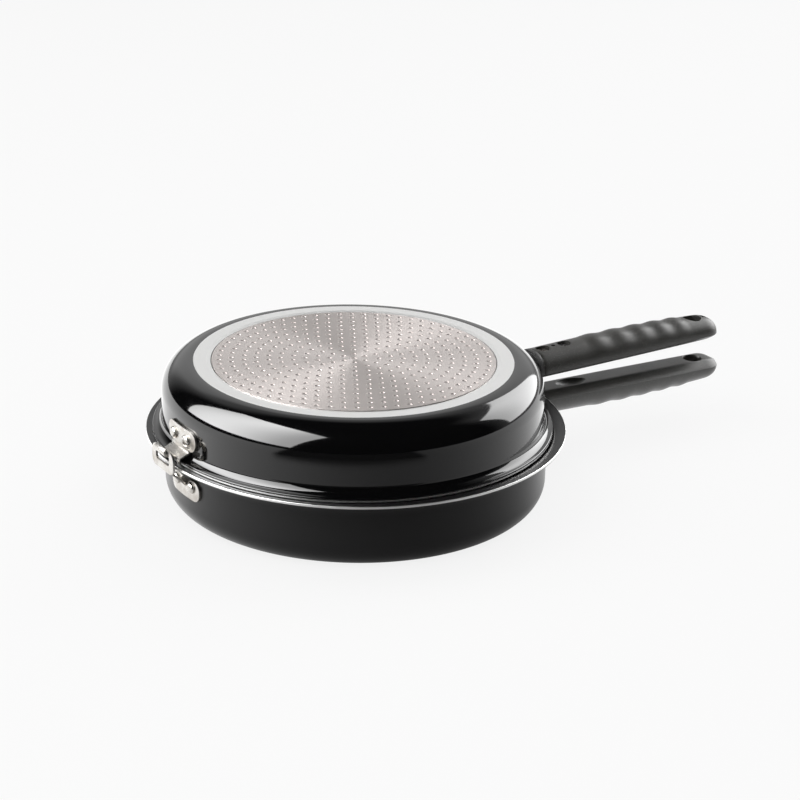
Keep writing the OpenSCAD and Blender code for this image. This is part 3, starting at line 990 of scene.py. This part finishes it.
@dataclass
class Handle:
    """One grip with its collar, bracket, rivets and screws."""

    half: Half
    rivets: RivetPair
    grip: GripShape = field(default_factory=GripShape)
    rivet: Rivet = field(default_factory=Rivet)
    front_x: float = 137.6
    drop: float = 9.3
    middle_z: float = 48.0
    lean_deg: float = 1.0
    flare_l: float = 1.6
    flare_power: float = 2.2

    def frame_matrix(self) -> Matrix:
        """The grip's own frame in the row frame, mirrored for the lower half."""
        mirror = Matrix.Diagonal((1, 1, -1, 1))
        front = self.front_x * MM, 0, (self.middle_z - self.drop) * MM
        lean = Matrix.Rotation(math.radians(self.lean_deg), 4, "Y")
        lower = Matrix.Translation(front) @ lean @ mirror
        if self.half is Half.LOWER:
            return lower
        up = Seat.of(self.half).axis_x, 0, 2 * self.middle_z * MM
        return Matrix.Translation(up) @ mirror @ lower

    def _drill(
        self, x: float, low: float, high: float, d: float, flare: float = 0.0
    ) -> MeshData:
        """A drill's shape, wider by flare over the last flare_l at both ends."""
        turn = np.linspace(0, 1, 9)
        wide = d / 2 + flare * turn**self.flare_power
        reach = self.flare_l * turn
        bottom = np.column_stack([wide, low + self.flare_l - reach])[::-1]
        top = np.column_stack([wide, high - self.flare_l + reach])
        section = np.vstack([[0, low], bottom, top, [0, high]])
        vertices, faces = revolve(section * MM, 64)
        return vertices + [x * MM, 0, 0], faces

    def _slab(
        self, x0: float, x1: float, half_y: float, z0: float, z1: float
    ) -> MeshData:
        """A flat slot's shape."""
        corners = rectangle(x0, x1, -half_y, half_y)
        vertices = np.vstack([corners + [0, 0, z] for z in (z0, z1)])
        sides = [[i, (i + 1) % 4, (i + 1) % 4 + 4, i + 4] for i in range(4)]
        return vertices * MM, sides + [[3, 2, 1, 0], [4, 5, 6, 7]]

    def _dish(self) -> MeshData:
        """A lens that scoops the thumb dish: an arc turned about a line along X."""
        g = self.grip
        half_w, half_l = g.pocket_w / 2, g.pocket_l / 2
        lens_r = (g.pocket_depth**2 + half_w**2) / (2 * g.pocket_depth)
        arc_r = (g.pocket_depth**2 + half_l**2) / (2 * g.pocket_depth)
        tip = math.sqrt(arc_r**2 - (arc_r - lens_r) ** 2)
        along = tip * np.sin(np.linspace(-math.pi / 2, math.pi / 2, 41))
        away = np.sqrt(arc_r**2 - along**2) + lens_r - arc_r
        away[[0, -1]] = 0.0
        vertices, faces = revolve(np.column_stack([away, along]) * MM, 72)
        middle = Vector((g.pocket_start + half_l, 0, g.pocket_depth - lens_r - g.keel)) * MM
        matrix = Matrix.Translation(middle) @ Matrix.Rotation(math.pi / 2, 4, "Y")
        return placed(vertices, matrix), faces

    def cutters(self) -> list[MeshData]:
        """Shapes of the slot, bores and recesses, in the grip's frame."""
        g = self.grip
        hang_x = g.length - g.hang_from_tip
        seat = g.tang_drop + g.tang_t / 2 + g.screw_seat
        near, far = g.tang_drop - g.tang_t / 2, g.tang_drop + g.tang_t / 2
        fit, past = 0.2, 20
        made = [
            self._slab(-1, g.tang_l + fit, g.tang_w / 2 + fit, near - fit, far + fit),
            self._dish(),
            self._drill(hang_x, -g.keel - g.hang_past[0], g.hang_past[1], g.hang_d, 0.8),
            self._drill(
                hang_x + g.hang_d / 2 + g.blind_gap, g.crown - g.blind_depth, 16, g.blind_d
            ),
            self._drill(g.screw_start + g.screw_pitch / 2, g.tang_drop, past, g.vent_d),
        ]
        for x in (g.screw_start, g.screw_start + g.screw_pitch):
            made.append(self._drill(x, seat, past, g.counterbore_d))
            made.append(self._drill(x, g.tang_drop, seat + 1, g.screw_bore_d))
        return made

    def build_grip(self, palette: Palette) -> None:
        """Makes the grip's skin and cuts its holes."""
        matrix = self.frame_matrix()
        vertices, faces = self.grip.skin()
        name = f"{self.half.value}_moulded_grip"
        piece = new_piece(name, placed(vertices, matrix), faces)
        for number, (points, sides) in enumerate(self.cutters()):
            tool = new_piece(f"{name}_cut_{number}", placed(points, matrix), sides)
            cut = piece.modifiers.new(f"cut_{number}", "BOOLEAN")
            cut.operation = "DIFFERENCE"
            cut.solver = "EXACT"
            cut.object = tool
        bpy.context.view_layer.update()
        tools = [m.object for m in piece.modifiers]
        bake_modifiers(piece, 38)
        for tool in tools:
            mesh = tool.data
            bpy.data.objects.remove(tool)
            bpy.data.meshes.remove(mesh)
        node = f"{self.half.value}_handle_grip"
        hand_over(piece, self.half, node, "grip_plastic", palette)

    def build(self, palette: Palette) -> None:
        """Makes every piece of the handle."""
        half = self.half.value
        self.build_grip(palette)
        parts = (
            ("handle_collar", "front_collar", 0.35, "collar_plastic"),
            ("handle_bracket", "tang_bracket", 0.3, "bracket_steel"),
            ("handle_screw_front", "slot_screw_front", 0.12, "screw_steel"),
            ("handle_screw_rear", "slot_screw_rear", 0.12, "screw_steel"),
        )
        for node, name, edge, slot in parts:
            piece = softened_copy(f"{half}_{node}", f"{half}_{name}", edge)
            hand_over(piece, self.half, f"{half}_{node}", slot, palette)
        self.rivets.build(self.half, self.rivet, palette)


# ---- the studio ----


@dataclass(frozen=True)
class Camera:
    """The photograph's camera, as fitted to the pan's rings and rims."""

    azimuth_deg: float = -31.5
    elevation_deg: float = 21.92
    roll_deg: float = -0.855
    distance: float = 1.370
    aim_height: float = 0.04526
    focal_px: float = 1.595 * 1370
    aim_px: Pair = (356.409, 423.154)
    frame_px: int = 800

    def build(self) -> None:
        """Makes the camera and gives it to the scene."""
        back = direction(self.azimuth_deg - 90, self.elevation_deg)
        right = direction(self.azimuth_deg, 0)
        facing = Matrix((right, back.cross(right), back))
        roll = Matrix.Rotation(math.radians(self.roll_deg), 3, "Z")
        middle = self.frame_px / 2
        aim_x, aim_y = ((px - middle) / self.focal_px for px in self.aim_px)
        ray = Vector((aim_x, -aim_y, -1)).normalized()
        turn = Vector((0, 0, -1)).rotation_difference(ray).to_matrix()
        to_camera = turn @ roll @ facing
        data = bpy.data.cameras.new("photograph_camera")
        data.sensor_fit = "HORIZONTAL"
        data.sensor_width = 36.0
        data.lens = self.focal_px / self.frame_px * data.sensor_width
        data.clip_start, data.clip_end = 0.01, 50.0
        camera = bpy.data.objects.new("photograph_camera", data)
        place = back * self.distance + Vector((0, 0, self.aim_height))
        camera.matrix_world = Matrix.Translation(place) @ to_camera.transposed().to_4x4()
        bpy.context.scene.collection.objects.link(camera)
        bpy.context.scene.camera = camera


def show_to_gloss_only(piece: Piece) -> None:
    """Stages a piece that only reflections are to show."""
    for kind in ("camera", "diffuse", "transmission", "shadow"):
        setattr(piece, f"visible_{kind}", False)


@dataclass(frozen=True)
class Fill:
    """A soft lamp for the matt surfaces and the floor, which gloss doesn't show."""

    name: str
    azimuth_deg: float
    elevation_deg: float
    distance: float
    width_deg: float
    height_deg: float
    radiance: float

    def build(self) -> None:
        """Makes the lamp."""
        out = direction(self.azimuth_deg, self.elevation_deg)
        data = bpy.data.lights.new(self.name, "AREA")
        data.shape = "RECTANGLE"
        data.size, data.size_y = (
            2 * self.distance * math.tan(math.radians(span / 2))
            for span in (self.width_deg, self.height_deg)
        )
        data.energy = self.radiance * math.pi * data.size * data.size_y
        lamp = bpy.data.objects.new(self.name, data)
        facing = out.to_track_quat("Z", "Y")
        lamp.matrix_world = Matrix.LocRotScale(out * self.distance, facing, None)
        bpy.context.scene.collection.objects.link(lamp)
        for kind in ("camera", "transmission", "glossy"):
            setattr(lamp, f"visible_{kind}", False)
        log.info("lamp %s", self.name)


@dataclass(frozen=True)
class Softbox:
    """A glowing card that only gloss surfaces show, brightest near its middle.

    Its plane stands at distance along a normal, and its edges are given in the
    plane as shares of that distance, to the right of the normal and above it.
    """

    name: str
    azimuth_deg: float
    facing_deg: float
    sides: Pair
    levels: Pair
    radiance: float
    hot: float
    dim: float
    distance: float = 2.0

    def build(self) -> None:
        """Makes the card."""
        out = direction(self.azimuth_deg, self.facing_deg)
        right = direction(self.azimuth_deg + 90, 0)
        corners = rectangle(*self.sides, *self.levels) * self.distance
        card = new_piece(self.name, corners, [[0, 1, 2, 3]], outward=False)
        turn = Matrix((right, out.cross(right), out)).transposed()
        card.matrix_world = Matrix.Translation(out * self.distance) @ turn.to_4x4()
        g = Graph(self.name)
        across, _, _ = g.axes(g.place())
        half = (self.sides[1] - self.sides[0]) / 2 * self.distance
        away = ((across - self.hot * self.distance) / half).math("ABSOLUTE")
        level = self.dim + (1 - self.dim) * away.rise(1.1, 0.0)
        glow = g.glow(g.blend(level, grey(0), grey(self.radiance)))
        card.data.materials.append(g.output(glow))
        show_to_gloss_only(card)
        log.info("softbox %s", self.name)


@dataclass
class Studio:
    """Pale floor, dark room and soft lamps."""

    pale: float = 0.947
    even_light: float = 0.42
    floor_reach: float = 9.0
    floor_drop: float = 0.0004
    floor_tone: float = 0.80
    glow_share: float = 0.90
    mirror_share: float = 0.96
    room_r: float = 4.5
    sheet_dimmest_deg: float = -101.0
    sheet_dim: float = 0.27
    sheet_gain: float = 1.4
    sheet_swing: float = 1.25
    sheet_front: float = 0.280
    sheet_cut_deg: Pair = (-156, -90)
    room_dark: float = 0.002
    backdrop: float = 0.38
    glare: float = 0.40
    softboxes: tuple[Softbox, ...] = (
        Softbox("long_left_box", 166, 18, (-0.74, 0.78), (-0.15, 1.15), 12.5, -0.15, 0.45),
        Softbox("right_box", 5, 15, (-0.50, 0.44), (-0.16, 0.58), 6.6, 0.0, 0.75),
    )
    fills: tuple[Fill, ...] = (
        Fill("left_fill", 160, 48, 2.4, 60, 50, 2.4),
        Fill("right_fill", 10, 42, 2.4, 50, 45, 2.2),
        Fill("front_fill", -100, 50, 2.4, 50, 45, 1.3),
    )

    def build(self) -> None:
        """Makes the camera, floor, room, lamps and world."""
        bpy.context.scene.view_settings.view_transform = "Standard"
        Camera().build()
        self._floor()
        self._room()
        self._world()
        for lamp in self.softboxes + self.fills:
            lamp.build()

    def _floor(self) -> None:
        """Lays a pale floor that shows as the photograph's background.

        To the eye it is the background with the pan's shadow on it. To gloss
        surfaces it is a sheet that is brightest below the softboxes and ends in
        front of the pan: dim + swing (1 - cos a), with a from its dimmest side.
        """
        r = self.floor_reach
        corners = rectangle(-r, r, -r, r) - [0, 0, self.floor_drop]
        floor = new_piece("pale_floor", corners, [[0, 1, 2, 3]], outward=False)
        g = Graph("pale_floor")
        grain = g.noise(g.place(), 6, 2)
        tone = self.floor_tone + (grain - 0.5) * 0.01
        matt = g.node(
            "ShaderNodeBsdfDiffuse", sockets={"Color": g.blend(tone, grey(0), grey(1))}
        )
        x, y, _ = g.axes(g.place())
        round_pan = g.azimuth(x, y)
        swing = (round_pan - self.sheet_dimmest_deg) * (1 / DEGREES)
        gain = ((1 - swing.math("COSINE")) * self.sheet_swing).least(self.sheet_gain)
        away = (x * x + y * y) ** 0.5
        beyond = away.rise(self.sheet_front - 0.006, self.sheet_front + 0.006)
        beyond = beyond * round_pan.between(*self.sheet_cut_deg, 5)
        most = self.sheet_dim + self.sheet_gain
        level = (self.sheet_dim + gain) * (1 - beyond) / most
        mirror = g.glow(g.blend(level, grey(0), grey(most)))
        seen = (g.ray("Camera") + g.ray("Transmission")).least(1.0)
        to_eye = g.mix(seen * self.glow_share, matt, g.glow(grey(self.pale)))
        both = g.mix(g.ray("Glossy") * self.mirror_share, to_eye, mirror)
        floor.data.materials.append(g.output(both))
        log.info("floor laid")

    def _room(self) -> None:
        """Stands a dark room round the pan, which only gloss surfaces see.

        Its wall behind the pan is grey up to about 55 degrees, as a studio's
        backdrop is, and lighter where the pan's top mirrors it to the camera.
        """
        turn = np.radians(np.linspace(0, 90, 25))
        dome = np.stack([np.cos(turn), np.sin(turn)], axis=1) * self.room_r
        dome[-1, 0] = 0.0
        vertices, faces = revolve(np.vstack([[0, 0], dome]), 48)
        room = new_piece("dark_room", vertices, faces)
        g = Graph("dark_room")
        x, y, z = g.axes(g.place())
        turned = g.azimuth(x, y)
        height = (z / self.room_r).math("ARCSINE") * DEGREES
        grey_wall = turned.between(-15, 88, 22) * height.rise(60, 44)
        lighter = turned.between(36, 81, 14) * height.between(10, 34, 8)
        level = self.room_dark + grey_wall * (self.backdrop + lighter * self.glare)
        clear = g.node("ShaderNodeBsdfTransparent")
        glow = g.glow(g.blend(level, grey(0), grey(1)))
        room.data.materials.append(g.output(g.mix(z.rise(0.0, 0.01), clear, glow)))
        show_to_gloss_only(room)
        log.info("room stands")

    def _world(self) -> None:
        """Sets a pale world for the eye and a low, even light for the rest."""
        g = Graph("pale_world", world=True)
        even, eye = (
            g.node("ShaderNodeBackground", sockets={"Color": grey(1), "Strength": level})
            for level in (self.even_light, self.pale)
        )
        seen = (g.ray("Camera") + g.ray("Glossy")).least(1.0)
        bpy.context.scene.world = g.output(g.mix(seen, even, eye))


# ---- the object ----


@dataclass
class FlipPan:
    """The whole pan: two halves, their hinge and their handles."""

    lower_shape: PanShape = PanShape(
        wall_r=119.5, corner_r=15.0, cove_r=8.5, rim_r=131.0,
        height=46.3, edge_round=1.05, bare_edge=1.35,
    )
    upper_shape: PanShape = PanShape(
        wall_r=119.0, corner_r=18.5, cove_r=5.4, rim_r=124.8,
        height=42.5, edge_round=0.7, bare_edge=1.0,
    )
    hinge_spans: Pair = (18.0, 15.4)
    handle_span: float = 26.0
    hinge_sheet: float = 1.4
    handle_sheet: float = 1.8

    def build(self) -> None:
        """Makes every piece in order."""
        plate = TurnedPlate()
        finishes = {
            "bracket_steel": BrightSteel("bracket_steel"),
            "rivet_steel": BrightSteel("rivet_steel", roughness=0.20, dent_mm=0.02),
            "screw_steel": BrightSteel("screw_steel", (0.13, 0.13, 0.13), roughness=0.42),
            "grip_plastic": MouldedResin("grip_resin", (0.012, 0.0115, 0.0098), 0.40),
            "collar_plastic": MouldedResin("collar_resin", (0.006, 0.006, 0.006), 0.50),
        }
        palette = {slot: finish.build() for slot, finish in finishes.items()}
        lower_coat = PanCoat(
            "charcoal_coat", (0.0045, 0.0043, 0.0046), 0.33, ior=1.38, grain_mm=0.004
        )
        upper_coat = PanCoat("black_lacquer", (0.002, 0.002, 0.0022), 0.07, ior=1.6)

        Pan(Half.LOWER, self.lower_shape, lower_coat, "lower_pan_coating").build(plate)
        Pan(Half.UPPER, self.upper_shape, upper_coat, "upper_pan_lacquer").build(plate)
        shapes = {Half.LOWER: self.lower_shape, Half.UPPER: self.upper_shape}
        Hinge({
            half: RivetPair("hinge", shape.wall_r, span, self.hinge_sheet, 180)
            for (half, shape), span in zip(shapes.items(), self.hinge_spans)
        }).build(palette)
        for half, shape in shapes.items():
            pair = RivetPair("handle", shape.wall_r, self.handle_span, self.handle_sheet, 0)
            Handle(half, pair).build(palette)


def main() -> None:
    """Builds the studio and the pan, and reports each piece."""
    logging.basicConfig(level=logging.INFO, format="%(name)s: %(message)s")
    Studio().build()
    FlipPan().build()


if __name__ == "__main__":
    main()
